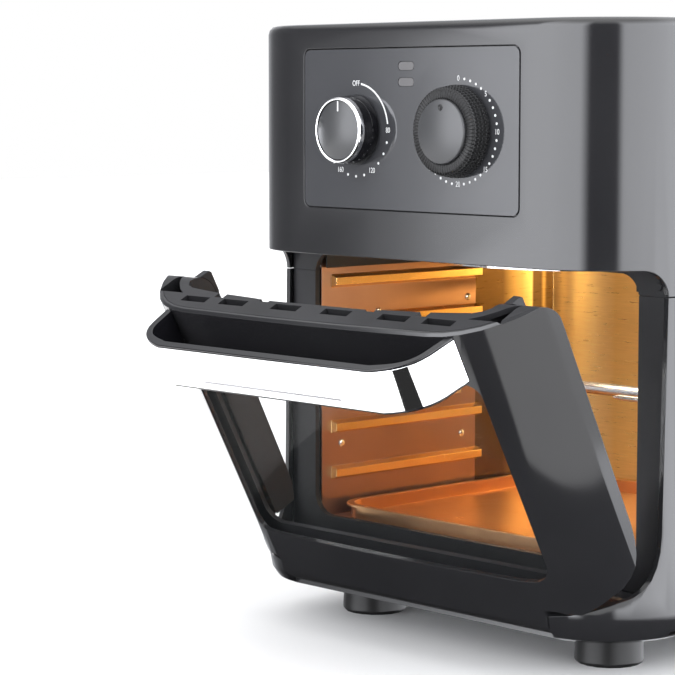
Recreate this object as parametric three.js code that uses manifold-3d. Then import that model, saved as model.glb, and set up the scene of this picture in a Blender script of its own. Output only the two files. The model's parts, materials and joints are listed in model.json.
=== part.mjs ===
// Oven-type air fryer: a tall cabinet with a bottom-hinged glass door, two control knobs,
// a convection fan over a ring element, a rotisserie spit and a drip tray.
//
// Millimetres. +X is the user's right, +Y runs back into the cabinet, +Z is up.
// The door is drawn shut and then turned open about its hinge by DOOR_REST.
// Inside the main group y = 0 is the foremost line of the cabinet's bowed front; the group is
// then moved so that the origin is at the middle of the underside of the whole object.

import * as THREE from 'three';
import { mergeVertices } from 'three/addons/utils/BufferGeometryUtils.js';
import Module from 'manifold-3d';

const wasm = await Module();
wasm.setup();

// ---------------------------------------------------------------- driving dimensions
const HALF_WIDTH = 166.2;
const DEPTH = 324;
const HEIGHT = 385;
const FRONT_RADIUS = 61.9;          // vertical front corners
const REAR_RADIUS = 45;
const BOW_RADIUS = 3773;            // the front is very slightly bowed
const WALL = 3.2;
const GAP = 0.3;                    // clearance between pieces that touch

const BASE_Z = 24;                  // underside of the cabinet, on its feet
const SEAM_Z = 225.6;               // joint between lower shell and top housing
const HEAD_Z = 241.1;               // lower front edge of the top housing
const TOP_ROUND = 5.5;

const HINGE = { y: 14.8, z: 40.4 };
const DOOR_REST = 27.7;             // degrees open at rest
const DOOR_TRAVEL = 75;             // degrees open at most
const DOOR_TOP = 238.5;
const DOOR_INNER = 20;              // rear face of the door's inner frame
const DOOR_POCKET_X = 148;
const DOOR_CHEEK = 14;              // thickness of the door's side cheeks
const DOOR_LID = 3.2;               // thickness of its top
const CHEEK_X = 131.5;              // inner face of the cheeks' boxes
const BARREL = { radius: 13, halfLength: 115.5 };
const WINDOW = { halfWidth: 128, bottom: 70.5, top: 206, radius: 11 };

const HANDLE = { front: -34, bottom: 207.8, top: 234.3, rim: 1.7, halfWidth: 126, flat: 92 };
const BAND = 2.2;                   // thickness of the chrome band
const LINER = 3;

const FRAME_Y = 53;                 // front face of the black cavity frame
const FRAME_THICKNESS = 4;
const MOUTH = { halfWidth: 139.6, bottom: 62.5, top: 237.5, radius: 14 };

const CAVITY = { halfWidth: 138, bottom: 60, top: 264, front: FRAME_Y + FRAME_THICKNESS + GAP, rear: 285 };
const SHEET = 1.2;                  // pressed steel

const PANEL = { halfWidth: 92, bottom: 271.4, top: 368.8, radius: 4.5, depth: 1.5, groove: 0.8 };
const DIAL_Z = 319.5;
const DIAL_X = 44;
const DIAL_HOLE = 5;
const FAN = { x: 0, y: 170, shaft: 3 };
const SPIT = { y: 168, z: 150, radius: 4 };
const FOOT = { x: 102.6, front: 73, rear: 270, radius: 21.3 };
const REAR_END = 330;               // rearmost point, the end of the cord gland

// ---------------------------------------------------------------- materials
function finish(color, roughness, metalness = 0) {
  return new THREE.MeshStandardMaterial({ color, roughness, metalness });
}
const satinBlack = finish(0x2c2c2f, 0.32);
const mattBlack = finish(0x18181a, 0.6);
const glossBlack = finish(0x0c0c0e, 0.1);
const panelGrey = finish(0x4a4c50, 0.18);
const chrome = finish(0xd8dadc, 0.08, 1);
const steel = finish(0x9a9c9e, 0.35, 1);
const warmSteel = finish(0xb98a4a, 0.4, 0.9);
const darkSteel = finish(0x4a4a4c, 0.4, 0.9);
const rubber = finish(0x1a1a1c, 0.85);
const lensGrey = finish(0x9a8f8c, 0.2);
const clearGlass = finish(0xcfd8dc, 0.04);
clearGlass.transparent = true;
clearGlass.opacity = 0.3;

// ---------------------------------------------------------------- solid helpers
function solidOf(geometry) {
  const bare = new THREE.BufferGeometry();
  bare.setAttribute('position', geometry.getAttribute('position').clone());
  if (geometry.index) bare.setIndex(geometry.index.clone());
  const merged = mergeVertices(bare, 1e-4);
  const index = merged.index.array;
  const kept = [];
  for (let i = 0; i < index.length; i += 3) {
    const [a, b, c] = [index[i], index[i + 1], index[i + 2]];
    if (a !== b && b !== c && c !== a) kept.push(a, b, c);
  }
  return new wasm.Manifold(new wasm.Mesh({
    numProp: 3,
    vertProperties: Float32Array.from(merged.attributes.position.array),
    triVerts: Uint32Array.from(kept),
  }));
}

function geometryOf(solid) {
  const mesh = solid.getMesh();
  const geometry = new THREE.BufferGeometry();
  geometry.setAttribute('position', new THREE.BufferAttribute(Float32Array.from(mesh.vertProperties), 3));
  geometry.setIndex(Array.from(mesh.triVerts));
  return geometry;
}

const cut = (base, ...tools) => tools.reduce((left, tool) => left.subtract(tool), base);
const join = (base, ...parts) => parts.reduce((sum, part) => sum.add(part), base);
const common = (base, ...others) => others.reduce((left, other) => left.intersect(other), base);

function box(x0, x1, y0, y1, z0, z1) {
  const geometry = new THREE.BoxGeometry(x1 - x0, y1 - y0, z1 - z0);
  geometry.translate((x0 + x1) / 2, (y0 + y1) / 2, (z0 + z1) / 2);
  return solidOf(geometry);
}

function extruded(shape, depth, segments) {
  return new THREE.ExtrudeGeometry(shape, { depth, bevelEnabled: false, curveSegments: segments });
}

// Outline drawn in (x, y), extruded up.
function upright(shape, z0, z1, segments = 6) {
  return solidOf(extruded(shape, z1 - z0, segments).translate(0, 0, z0));
}

// Outline drawn in (x, z), extruded back.
function through(shape, y0, y1, segments = 6) {
  return solidOf(extruded(shape, y1 - y0, segments).rotateX(Math.PI / 2).translate(0, y1, 0));
}

// Outline drawn in (y, z), extruded to the right.
function across(shape, x0, x1, segments = 6) {
  const turn = new THREE.Matrix4().makeBasis(
    new THREE.Vector3(0, 1, 0), new THREE.Vector3(0, 0, 1), new THREE.Vector3(1, 0, 0));
  return solidOf(extruded(shape, x1 - x0, segments).applyMatrix4(turn).translate(x0, 0, 0));
}

// Turned solid about Z from [radius, height] points; closed on its axis or on itself.
function turned(profile, segments = 16) {
  const points = profile.map(([radius, height]) => new THREE.Vector2(radius, height));
  return solidOf(new THREE.LatheGeometry(points, segments).rotateX(Math.PI / 2));
}
const disc = (radius, z0, z1, segments = 16) =>
  turned([[0, z0], [radius, z0], [radius, z1], [0, z1]], segments);
const tubeRing = (inner, outer, z0, z1, segments = 16) =>
  turned([[inner, z0], [outer, z0], [outer, z1], [inner, z1], [inner, z0]], segments);

const at = (solid, x, y, z) => solid.translate([x, y, z]);
const pointBack = (solid) => solid.rotate([-90, 0, 0]);     // +Z of the solid becomes +Y
const pointForward = (solid) => solid.rotate([90, 0, 0]);   // +Z of the solid becomes -Y
const pointRight = (solid) => solid.rotate([0, 90, 0]);     // +Z of the solid becomes +X

function roundedRect(x0, x1, y0, y1, radius) {
  const shape = new THREE.Shape();
  shape.absarc(x1 - radius, y0 + radius, radius, -Math.PI / 2, 0);
  shape.absarc(x1 - radius, y1 - radius, radius, 0, Math.PI / 2);
  shape.absarc(x0 + radius, y1 - radius, radius, Math.PI / 2, Math.PI);
  shape.absarc(x0 + radius, y0 + radius, radius, Math.PI, Math.PI * 1.5);
  shape.closePath();
  return shape;
}

function polygon(points) {
  return new THREE.Shape(points.map(([x, y]) => new THREE.Vector2(x, y)));
}

// ---------------------------------------------------------------- cabinet outline
const cornerX = HALF_WIDTH - FRONT_RADIUS;
const cornerY = BOW_RADIUS - Math.sqrt((BOW_RADIUS - FRONT_RADIUS) ** 2 - cornerX ** 2);
const bowAngle = Math.atan2(cornerX, BOW_RADIUS - cornerY);

// y of the cabinet's front surface at x, on its front corners.
const cornerFrontY = (x) => cornerY - Math.sqrt(FRONT_RADIUS ** 2 - (x - cornerX) ** 2);

function planPoints(inset) {
  const points = [];
  const arc = (x, y, radius, from, to, steps) => {
    for (let i = 0; i <= steps; i += 1) {
      const angle = from + (to - from) * (i / steps);
      points.push(new THREE.Vector2(x + radius * Math.cos(angle), y + radius * Math.sin(angle)));
    }
  };
  const quarter = Math.PI / 2;
  const rearX = HALF_WIDTH - REAR_RADIUS;
  const rearY = DEPTH - REAR_RADIUS;
  arc(cornerX, cornerY, FRONT_RADIUS - inset, -quarter + bowAngle, 0, 8);
  arc(rearX, rearY, REAR_RADIUS - inset, 0, quarter, 5);
  arc(-rearX, rearY, REAR_RADIUS - inset, quarter, 2 * quarter, 5);
  arc(-cornerX, cornerY, FRONT_RADIUS - inset, 2 * quarter, 3 * quarter - bowAngle, 8);
  arc(0, BOW_RADIUS, BOW_RADIUS - inset, -quarter - bowAngle * 0.6, -quarter + bowAngle * 0.6, 4);
  return points;
}

// Solid whose plan is the cabinet outline drawn in by inset at each [inset, z] level.
function cabinetStack(levels) {
  const rings = levels.map(([inset]) => planPoints(inset));
  const count = rings[0].length;
  const positions = [];
  const index = [];
  rings.forEach((ring, level) => ring.forEach((point) => positions.push(point.x, point.y, levels[level][1])));
  for (let level = 0; level < rings.length - 1; level += 1) {
    for (let i = 0; i < count; i += 1) {
      const a = level * count + i;
      const b = level * count + ((i + 1) % count);
      index.push(a, b, b + count, a, b + count, a + count);
    }
  }
  const last = (rings.length - 1) * count;
  THREE.ShapeUtils.triangulateShape(rings[0], []).forEach(([a, b, c]) => index.push(a, c, b));
  THREE.ShapeUtils.triangulateShape(rings[rings.length - 1], []).forEach(
    ([a, b, c]) => index.push(last + a, last + b, last + c));
  const geometry = new THREE.BufferGeometry();
  geometry.setAttribute('position', new THREE.Float32BufferAttribute(positions, 3));
  geometry.setIndex(index);
  return solidOf(geometry);
}
const cabinetBlock = (inset, z0, z1) => cabinetStack([[inset, z0], [inset, z1]]);

// Side view (y, z) of the space that the door fills, drawn in by a clearance.
function doorSideView(clearance) {
  const shape = new THREE.Shape();
  const top = HEAD_Z - (clearance > 0 ? HEAD_Z - DOOR_TOP : 0);
  const rear = 49.7 - clearance;
  const radius = 16 - clearance / 2;
  shape.moveTo(-60, top);
  shape.lineTo(-60, 8.5 + clearance);
  shape.lineTo(24, 50 + clearance * 1.2);
  shape.quadraticCurveTo(46.6 - clearance, 56 + clearance, 47.4 - clearance, 88);
  shape.lineTo(rear, top - radius);
  shape.absarc(rear - radius, top - radius, radius, 0, Math.PI / 2);
  shape.closePath();
  return shape;
}

// Solid of revolution about the door's hinge line, over the cabinet's right front corner:
// the cabinet's surface swept by the door, scaled out for the door's full travel.
function cornerSweep() {
  const scale = 1 / Math.sin(THREE.MathUtils.degToRad((180 - DOOR_TRAVEL) / 2));
  const first = BARREL.halfLength + 0.4;
  const last = 143;
  const steps = 7;
  const profile = [[0, first]];
  for (let i = 0; i <= steps; i += 1) {
    const x = first + (last - first) * (i / steps);
    profile.push([(HINGE.y - cornerFrontY(x)) * scale + 0.5, x]);
  }
  profile.push([0, last]);
  return at(pointRight(turned(profile, 24)), 0, HINGE.y, HINGE.z);
}

const bothSides = (solid) => join(solid, solid.mirror([1, 0, 0]));
const hingeRod = (radius, x0, x1, segments = 24) =>
  at(pointRight(disc(radius, x0, x1, segments)), 0, HINGE.y, HINGE.z);

// ---------------------------------------------------------------- scene graph
const airFryer = new THREE.Group();
const doorHinge = new THREE.Group();
const door = new THREE.Group();
airFryer.add(doorHinge);
doorHinge.add(door);
doorHinge.position.set(0, HINGE.y, HINGE.z);
doorHinge.rotation.x = THREE.MathUtils.degToRad(DOOR_REST);
door.position.set(0, -HINGE.y, -HINGE.z);

function piece(group, name, solid, material) {
  const mesh = new THREE.Mesh(geometryOf(solid), material);
  mesh.name = name;
  group.add(mesh);
  return mesh;
}

// ---------------------------------------------------------------- cabinet shells
const doorSpace = across(doorSideView(0), -200, 200);

function topHousing() {
  const levels = [[0, SEAM_Z + 0.2], [0, HEIGHT - TOP_ROUND]];
  for (let i = 1; i <= 3; i += 1) {
    const angle = (Math.PI / 2) * (i / 3);
    levels.push([TOP_ROUND * (1 - Math.cos(angle)), HEIGHT - TOP_ROUND * (1 - Math.sin(angle))]);
  }
  const p = PANEL;
  const side = p.halfWidth + p.groove;
  const recessOutline = roundedRect(-side, side, p.bottom - p.groove, p.top + p.groove, p.radius + p.groove);
  const recess = cut(through(recessOutline, -5, 20), cabinetBlock(p.depth + GAP, 200, 400));
  return cut(cabinetStack(levels), cabinetBlock(WALL, 200, HEIGHT - WALL), doorSpace, recess,
    bothSides(at(pointBack(disc(DIAL_HOLE, -5, 20)), DIAL_X, 0, DIAL_Z)));
}

function lowerShell() {
  const outer = cabinetStack([[12, BASE_Z], [5.5, 26.5], [1.8, 32], [0, 41], [0, SEAM_Z - 0.2]]);
  const sill = FRAME_Y + 5;
  return cut(outer,
    cabinetBlock(WALL, 50, 300),
    common(cabinetBlock(WALL, 27.3, 51), box(-200, 200, sill, 400, 0, 100)),
    common(cabinetBlock(15, 20, 28), box(-200, 200, sill, 400, 0, 100)),
    doorSpace,
    box(-BARREL.halfLength - 0.7, BARREL.halfLength + 0.7, -20, HINGE.y, 0, 60),
    hingeRod(BARREL.radius + 0.6, -BARREL.halfLength - 0.7, BARREL.halfLength + 0.7, 32),
    bothSides(hingeRod(4.4, 110, 128, 16)),
    box(-105, 105, DEPTH - 10, DEPTH + 10, 70, 200));
}
piece(airFryer, 'top_housing', topHousing(), satinBlack);
piece(airFryer, 'lower_shell', lowerShell(), satinBlack);
piece(airFryer, 'base_plate',
  common(cabinetBlock(15.4, BASE_Z + 0.2, 27), box(-200, 200, 58.3, 400, 0, 50)), mattBlack);

for (const [row, y] of [['front', FOOT.front], ['rear', FOOT.rear]]) {
  for (const [side, x] of [['left', -FOOT.x], ['right', FOOT.x]]) {
    const profile = [[0, 0], [FOOT.radius - 1.5, 0], [FOOT.radius, 2], [FOOT.radius - 0.6, 18],
      [FOOT.radius - 3, 20], [FOOT.radius - 3, BASE_Z - 0.1], [0, BASE_Z - 0.1]];
    piece(airFryer, `foot_${row}_${side}`, at(turned(profile, 18), x, y, 0), rubber);
  }
}

// Vented cover that closes the back, with its four screws and the lead's gland.
const cover = { halfWidth: 112, bottom: 63, top: 207, front: DEPTH + GAP, rear: DEPTH + 3 };
function rearCover() {
  const outline = roundedRect(-cover.halfWidth, cover.halfWidth, cover.bottom, cover.top, 8);
  let body = through(outline, cover.front, cover.rear);
  for (let i = 0; i < 6; i += 1) {
    const z = 112 + i * 14;
    body = cut(body, box(-70, -4, 300, 340, z, z + 5), box(4, 70, 300, 340, z, z + 5));
  }
  for (const x of [-100, 100]) {
    for (const z of [76, 194]) body = cut(body, at(pointBack(disc(2.3, 310, 340, 12)), x, 0, z));
  }
  return cut(body, at(pointBack(disc(8.3, 310, 340, 16)), 85, 0, 88));
}
piece(airFryer, 'rear_cover', rearCover(), mattBlack);
let screwNumber = 0;
for (const x of [-100, 100]) {
  for (const z of [76, 194]) {
    screwNumber += 1;
    const screw = turned([[0, 0], [3.8, 0], [3.8, 1], [2.4, 2], [0, 2]], 12);
    const crossSlot = join(box(-0.5, 0.5, -2.4, 2.4, 1.2, 3), box(-2.4, 2.4, -0.5, 0.5, 1.2, 3));
    piece(airFryer, `rear_cover_screw_${screwNumber}`,
      at(pointBack(cut(screw, crossSlot)), x, cover.rear + GAP, z), steel);
  }
}
const gland = turned([[3.6, DEPTH - 6], [8, DEPTH - 6], [8, DEPTH + 2.5], [6, REAR_END], [3.6, REAR_END],
  [3.6, DEPTH - 6]], 16);
piece(airFryer, 'cord_gland', at(pointBack(gland), 85, 0, 88), rubber);

// ---------------------------------------------------------------- cavity
const PLUNGER = { x: 155, z: 231, radius: 2 };
const plungerAt = (solid) => at(pointBack(solid), PLUNGER.x, 0, PLUNGER.z);
function frontFrame() {
  const m = MOUTH;
  const frame = { halfWidth: 161.3, bottom: 50.4, groove: 0.6 };
  const plate = through(roundedRect(-frame.halfWidth, frame.halfWidth, frame.bottom, HEAD_Z - 0.4, 3),
    FRAME_Y, FRAME_Y + FRAME_THICKNESS);
  const mouth = through(roundedRect(-m.halfWidth, m.halfWidth, m.bottom, m.top, m.radius), 0, 100, 5);
  const seam = box(-frame.halfWidth, frame.halfWidth, 0, FRAME_Y + frame.groove, SEAM_Z - frame.groove, SEAM_Z);
  return cut(plate, mouth, seam, plungerAt(disc(PLUNGER.radius + GAP, 0, 100, 12)));
}
piece(airFryer, 'front_frame', frontFrame(), mattBlack);
const visor = cabinetBlock(WALL + GAP, HEAD_Z + 0.4, HEAD_Z + 2.4);
piece(airFryer, 'visor_plate', common(visor, box(-200, 200, 0, CAVITY.front - 0.6, 0, 400)), mattBlack);

const COIL_Z = 249;
class ElementCoil extends THREE.Curve {
  getPoint(t, target = new THREE.Vector3()) {
    const angle = Math.PI / 2 + 0.26 + t * (4 * Math.PI - 0.52);
    const radius = 66 + 24 * t;
    return target.set(FAN.x + radius * Math.cos(angle), FAN.y + radius * Math.sin(angle), COIL_Z);
  }
}
const coilEnds = [0, 1].map((t) => new ElementCoil().getPoint(t));
const spitHole = 6.5;
function cavityLiner() {
  const c = CAVITY;
  const outerX = c.halfWidth + SHEET;
  const outer = box(-outerX, outerX, c.front, c.rear + SHEET, c.bottom - SHEET, c.top + SHEET);
  const inner = across(roundedRect(0, c.rear, c.bottom, c.top, 6), -c.halfWidth, c.halfWidth, 2);
  let body = cut(outer, inner, disc(FAN.shaft + 2.5, 200, 300, 16).translate([FAN.x, FAN.y, 0]),
    at(pointRight(disc(spitHole, 100, 200, 16)), 0, SPIT.y, SPIT.z),
    box(115, 133, 275, 300, 196, 216));
  for (const end of coilEnds) body = cut(body, at(disc(5, 200, 300, 12), end.x, end.y, 0));
  const rail = { height: 9, depth: 5, front: 66, rear: 206 };
  for (const z of [213, 186, 115, 84]) {
    const tip = c.halfWidth - rail.depth;
    const root = c.halfWidth + 0.4;
    const section = polygon([[root, z], [tip, z + 2], [tip, z + rail.height - 2], [root, z + rail.height]]);
    body = join(body, bothSides(through(section, rail.front, rail.rear)));
  }
  return body;
}
piece(airFryer, 'cavity_liner', cavityLiner(), warmSteel);
piece(airFryer, 'inner_shroud', cut(
  upright(roundedRect(-137.7, 137.7, CAVITY.front, 278, 6), 226.8, 240, 2),
  upright(roundedRect(-133.5, 133.5, CAVITY.front - 20, 273.5, 12), 200, 260, 3)), mattBlack);

const section = new THREE.Shape();
section.absarc(0, 0, 3.2, 0, Math.PI * 2);
const coil = solidOf(new THREE.ExtrudeGeometry(section,
  { steps: 48, curveSegments: 3, bevelEnabled: false, extrudePath: new ElementCoil() }));
const terminals = coilEnds.map((end) => at(disc(3.1, COIL_Z - 2, 276, 8), end.x, end.y, 0));
piece(airFryer, 'heating_element', join(coil, ...terminals), darkSteel);

function elementGuard() {
  const ribs = 4;
  let body = disc(98, 233, 234.5, 24);
  for (const [inner, outer] of [[16, 38], [44, 64], [70, 90]]) {
    for (let i = 0; i < ribs; i += 1) {
      const from = (i * 2 * Math.PI) / ribs + 2.5 / inner;
      const to = ((i + 1) * 2 * Math.PI) / ribs - 2.5 / inner;
      const slot = new THREE.Shape();
      slot.absarc(0, 0, outer, from, to, false);
      slot.absarc(0, 0, inner, to, from, true);
      body = cut(body, upright(slot, 230, 240, 2));
    }
  }
  for (const angle of [30, 150, 270]) {
    const turn = THREE.MathUtils.degToRad(angle);
    body = join(body, at(disc(2.5, 233.2, CAVITY.top - GAP, 8), 96 * Math.cos(turn), 96 * Math.sin(turn), 0));
  }
  return at(body, FAN.x, FAN.y, 0);
}
piece(airFryer, 'element_guard', elementGuard(), steel);

const bracketZ = 267;
let bracket = cut(box(-115, 115, 140, 200, bracketZ, bracketZ + 2), at(disc(6, 200, 300, 16), FAN.x, FAN.y, 0));
bracket = join(bracket, box(-115, -113, 140, 200, CAVITY.top + SHEET + GAP, bracketZ + 1),
  box(113, 115, 140, 200, CAVITY.top + SHEET + GAP, bracketZ + 1));
piece(airFryer, 'motor_bracket', bracket, steel);
const motorBore = FAN.shaft + 1;
const motor = turned([[motorBore, 269.3], [20, 269.3], [20, 273], [29, 275], [29, 297], [20, 300], [9, 300],
  [9, 303], [motorBore, 303], [motorBore, 269.3]], 16);
piece(airFryer, 'fan_motor', at(motor, FAN.x, FAN.y, 0), steel);

function bladeWheel(hubRadius, tip, blades, z0, z1, pitch) {
  let wheel = tubeRing(FAN.shaft + GAP, hubRadius, z0, z1, 12);
  for (let i = 0; i < blades; i += 1) {
    const blade = box(hubRadius - 1.5, tip, -0.8, 0.8, -(z1 - z0) / 2 + 0.5, (z1 - z0) / 2 - 0.5);
    const pitched = blade.rotate([pitch, 0, 0]).translate([0, 0, (z0 + z1) / 2]);
    wheel = join(wheel, pitched.rotate([0, 0, (360 * i) / blades]));
  }
  return at(wheel, FAN.x, FAN.y, 0);
}
piece(airFryer, 'fan_shaft', at(disc(FAN.shaft, 238, 322, 16), FAN.x, FAN.y, 0), steel);
piece(airFryer, 'convection_fan', bladeWheel(11, 54, 8, 241, 257, 35), darkSteel);
piece(airFryer, 'cooling_fan', bladeWheel(10, 42, 6, 306, 320, 35), mattBlack);

const lampLens = turned([[0, -1.4], [7, -1.4], [8.8, 1], [8.8, 9], [0, 9]], 20);
piece(airFryer, 'cavity_lamp_lens', at(pointBack(lampLens), 124, CAVITY.rear - 2, 206), clearGlass);

function dripTray() {
  const tray = { halfWidth: 132, front: 62, rear: 278, bottom: 60.6, top: 70, radius: 22 };
  const shape = (inset) => roundedRect(-tray.halfWidth + inset, tray.halfWidth - inset, tray.front + inset,
    tray.rear - inset, Math.max(tray.radius - inset, 6));
  const rim = upright(shape(0), tray.top - 1.5, tray.top, 4);
  const body = join(upright(shape(3), tray.bottom, tray.top - 1.2, 4), rim);
  const hollow = upright(shape(5), tray.bottom + 1.2, tray.top + 5, 4);
  const island = upright(shape(24), tray.bottom + 0.2, tray.bottom + 4, 4);
  const underIsland = upright(shape(26), tray.bottom - 1, tray.bottom + 2.8, 4);
  return cut(join(cut(body, hollow), island), underIsland);
}
piece(airFryer, 'drip_tray', dripTray(), warmSteel);

// ---------------------------------------------------------------- rotisserie
const spitMotorX = CAVITY.halfWidth + SHEET + GAP;
piece(airFryer, 'spit_motor',
  at(pointRight(cut(disc(19, spitMotorX, 159, 20), disc(5.2, 130, 154, 16))), 0, SPIT.y, SPIT.z), steel);
piece(airFryer, 'spit_rest', cut(box(-137.6, -128, SPIT.y - 12, SPIT.y + 12, SPIT.z - 16, SPIT.z + 6),
  at(pointRight(disc(SPIT.radius + 0.6, -150, -120, 16)), 0, SPIT.y, SPIT.z),
  box(-150, -120, SPIT.y - SPIT.radius - 0.6, SPIT.y + SPIT.radius + 0.6, SPIT.z, SPIT.z + 20)), steel);
const alongSpit = (solid) => at(pointRight(solid), 0, SPIT.y, SPIT.z);
const rod = turned([[0, -134], [2, -132], [SPIT.radius, -126], [SPIT.radius, 150], [0, 150]], 16);
piece(airFryer, 'spit_rod', alongSpit(rod), steel);
const screwAt = 100;
for (const [side, sign] of [['left', -1], ['right', 1]]) {
  const hub = tubeRing(SPIT.radius + GAP, 9, 88, 106, 12);
  let fork = join(hub, cut(box(-3.5, 3.5, -30, 30, 91, 94), disc(SPIT.radius + GAP, 50, 100, 12)));
  const tine = turned([[0, 42], [2, 50], [2, 92], [0, 92]], 6);
  for (const y of [-27, 27]) fork = join(fork, tine.translate([0, y, 0]));
  const threaded = at(pointForward(disc(1.9, -1, 30, 8)), 0, 0, screwAt);
  const screw = at(pointForward(join(disc(1.6, 4.8, 12, 8), disc(4.6, 9.8, 14, 12))), 0, 0, screwAt);
  const placed = (solid) => (sign > 0 ? alongSpit(solid) : alongSpit(solid).mirror([1, 0, 0]));
  piece(airFryer, `spit_fork_${side}`, placed(cut(fork, threaded)), steel);
  piece(airFryer, `spit_screw_${side}`, placed(screw), steel);
}

// ---------------------------------------------------------------- control panel and its switches
const lampZ = [358.3, 348.7];
const lampShape = (grow) => roundedRect(-6.65 - grow, 6.65 + grow, -2.5 - grow, 2.5 + grow, 2.45 + grow);
function controlPanel() {
  const p = PANEL;
  const sheet = cut(cabinetBlock(0, 240, 400), cabinetBlock(p.depth, 200, 450));
  let body = common(sheet, through(roundedRect(-p.halfWidth, p.halfWidth, p.bottom, p.top, p.radius), -5, 20));
  for (const z of lampZ) body = cut(body, at(through(lampShape(0.3), -5, p.depth * 0.7), 0, 0, z));
  return cut(body, bothSides(at(pointBack(disc(DIAL_HOLE, -5, 20)), DIAL_X, 0, DIAL_Z)));
}
piece(airFryer, 'control_panel', controlPanel(), panelGrey);
lampZ.forEach((z, i) => piece(airFryer, `lamp_lens_${['upper', 'lower'][i]}`,
  at(through(lampShape(0), 0.05, PANEL.depth * 0.7 - GAP), 0, 0, z), lensGrey));

const dialShaft = 3;
const unitFront = WALL + 1.6;
const behindDial = (solid, x) => at(pointBack(solid), x, 0, DIAL_Z);
const shaftBore = disc(dialShaft + 0.5, 0, 60, 12);
const thermostatUnit = join(box(-17, 17, -15, 15, unitFront, 26), disc(6, unitFront, 32, 16));
const timerUnit = join(disc(22, unitFront, 36, 16), disc(27, 38, 46, 16), disc(8, 30, 40, 16));
piece(airFryer, 'thermostat_unit', behindDial(cut(thermostatUnit, shaftBore), -DIAL_X), steel);
piece(airFryer, 'timer_unit', behindDial(cut(timerUnit, shaftBore), DIAL_X), steel);
for (const [name, x] of [['thermostat', -DIAL_X], ['timer', DIAL_X]]) {
  piece(airFryer, `${name}_shaft`, behindDial(disc(dialShaft, -8, 24, 12), x), steel);
}

const knobBase = -0.8;              // just clear of the bowed panel
const dialBore = disc(dialShaft + GAP, -1, 7.6, 12);
const inFront = (solid, x) => at(pointForward(solid), x, knobBase, DIAL_Z);
const thermostat = { base: 21.75, neck: 20.2, face: 19.6, depth: 15.2, ringWidth: 1.6 };
const ringInner = thermostat.face - thermostat.ringWidth;
const thermostatKnob = turned([[0, 0], [thermostat.base, 0], [thermostat.neck + 0.4, 10.9],
  [ringInner - GAP, 10.9], [ringInner - GAP, 14.4], [0, 14.4]], 32);
const knobRing = turned([[ringInner, 11.2], [thermostat.neck + 0.3, 11.2], [thermostat.face, thermostat.depth],
  [ringInner, thermostat.depth], [ringInner, 11.2]], 32);
piece(airFryer, 'thermostat_knob', inFront(cut(thermostatKnob, dialBore), -DIAL_X), glossBlack);
piece(airFryer, 'thermostat_knob_ring', inFront(knobRing, -DIAL_X), chrome);

const timer = { base: 27.6, face: 26, step: 19, depth: 14.2, flutes: 36 };
function timerKnob() {
  const outline = new THREE.Shape();
  for (let i = 0; i < timer.flutes * 2; i += 1) {
    const angle = (i * Math.PI) / timer.flutes;
    const radius = timer.base - (i % 2) * 0.9;
    const move = i === 0 ? 'moveTo' : 'lineTo';
    outline[move](radius * Math.cos(angle), radius * Math.sin(angle));
  }
  const crown = disc(timer.face, 0, 12.4, 36);
  return cut(join(upright(outline, 0, 10.6, 1), crown), disc(timer.step + GAP, 11, 20, 32), dialBore);
}
piece(airFryer, 'timer_knob', inFront(timerKnob(), DIAL_X), mattBlack);
const timerCap = turned([[0, 11.3], [timer.step, 11.3], [timer.step, timer.depth - 0.8],
  [timer.step - 1, timer.depth], [0, timer.depth]], 32);
const capDimple = at(disc(1.6, timer.depth - 0.8, 20, 12), 0, 15.8, 0);
piece(airFryer, 'timer_knob_cap', inFront(cut(timerCap, capDimple), DIAL_X), mattBlack);

// ---------------------------------------------------------------- door switch, behind the frame's upper right
const switchFront = FRAME_Y + FRAME_THICKNESS + GAP;
piece(airFryer, 'door_switch', cut(
  box(PLUNGER.x - 4, PLUNGER.x + 4, switchFront, switchFront + 16, PLUNGER.z - 7, PLUNGER.z + 7),
  plungerAt(disc(PLUNGER.radius + GAP, 0, switchFront + 11, 12))), mattBlack);
piece(airFryer, 'switch_plunger',
  plungerAt(disc(PLUNGER.radius, FRAME_Y - 0.6, switchFront + 8, 12)), mattBlack);

// ---------------------------------------------------------------- door
function doorShell() {
  const outline = cabinetStack([[0, 30], [0, DOOR_TOP - 1.5], [1.5, DOOR_TOP]]);
  const outer = common(outline, across(doorSideView(1), -200, 200));
  const pocket = common(cabinetBlock(WALL, 56, 300),
    box(-DOOR_POCKET_X, DOOR_POCKET_X, -20, DOOR_INNER + GAP, 0, 400));
  const rearSpace = common(cabinetBlock(DOOR_CHEEK, 0, 400), box(-200, 200, DOOR_INNER, 400, 0, 400));
  const lowerSpace = box(-DOOR_POCKET_X, DOOR_POCKET_X, DOOR_INNER, 400, 0, 400);
  const w = WINDOW;
  const window = through(roundedRect(-w.halfWidth, w.halfWidth, w.bottom, w.top, w.radius), -20, 40);
  const barrel = hingeRod(BARREL.radius, -BARREL.halfLength, BARREL.halfLength, 32);
  return cut(join(cut(outer, pocket, rearSpace, lowerSpace, window, bothSides(cornerSweep())), barrel),
    bothSides(hingeRod(4.3, 100, 120, 16)));
}
piece(door, 'door_shell', doorShell(), satinBlack);

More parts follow.
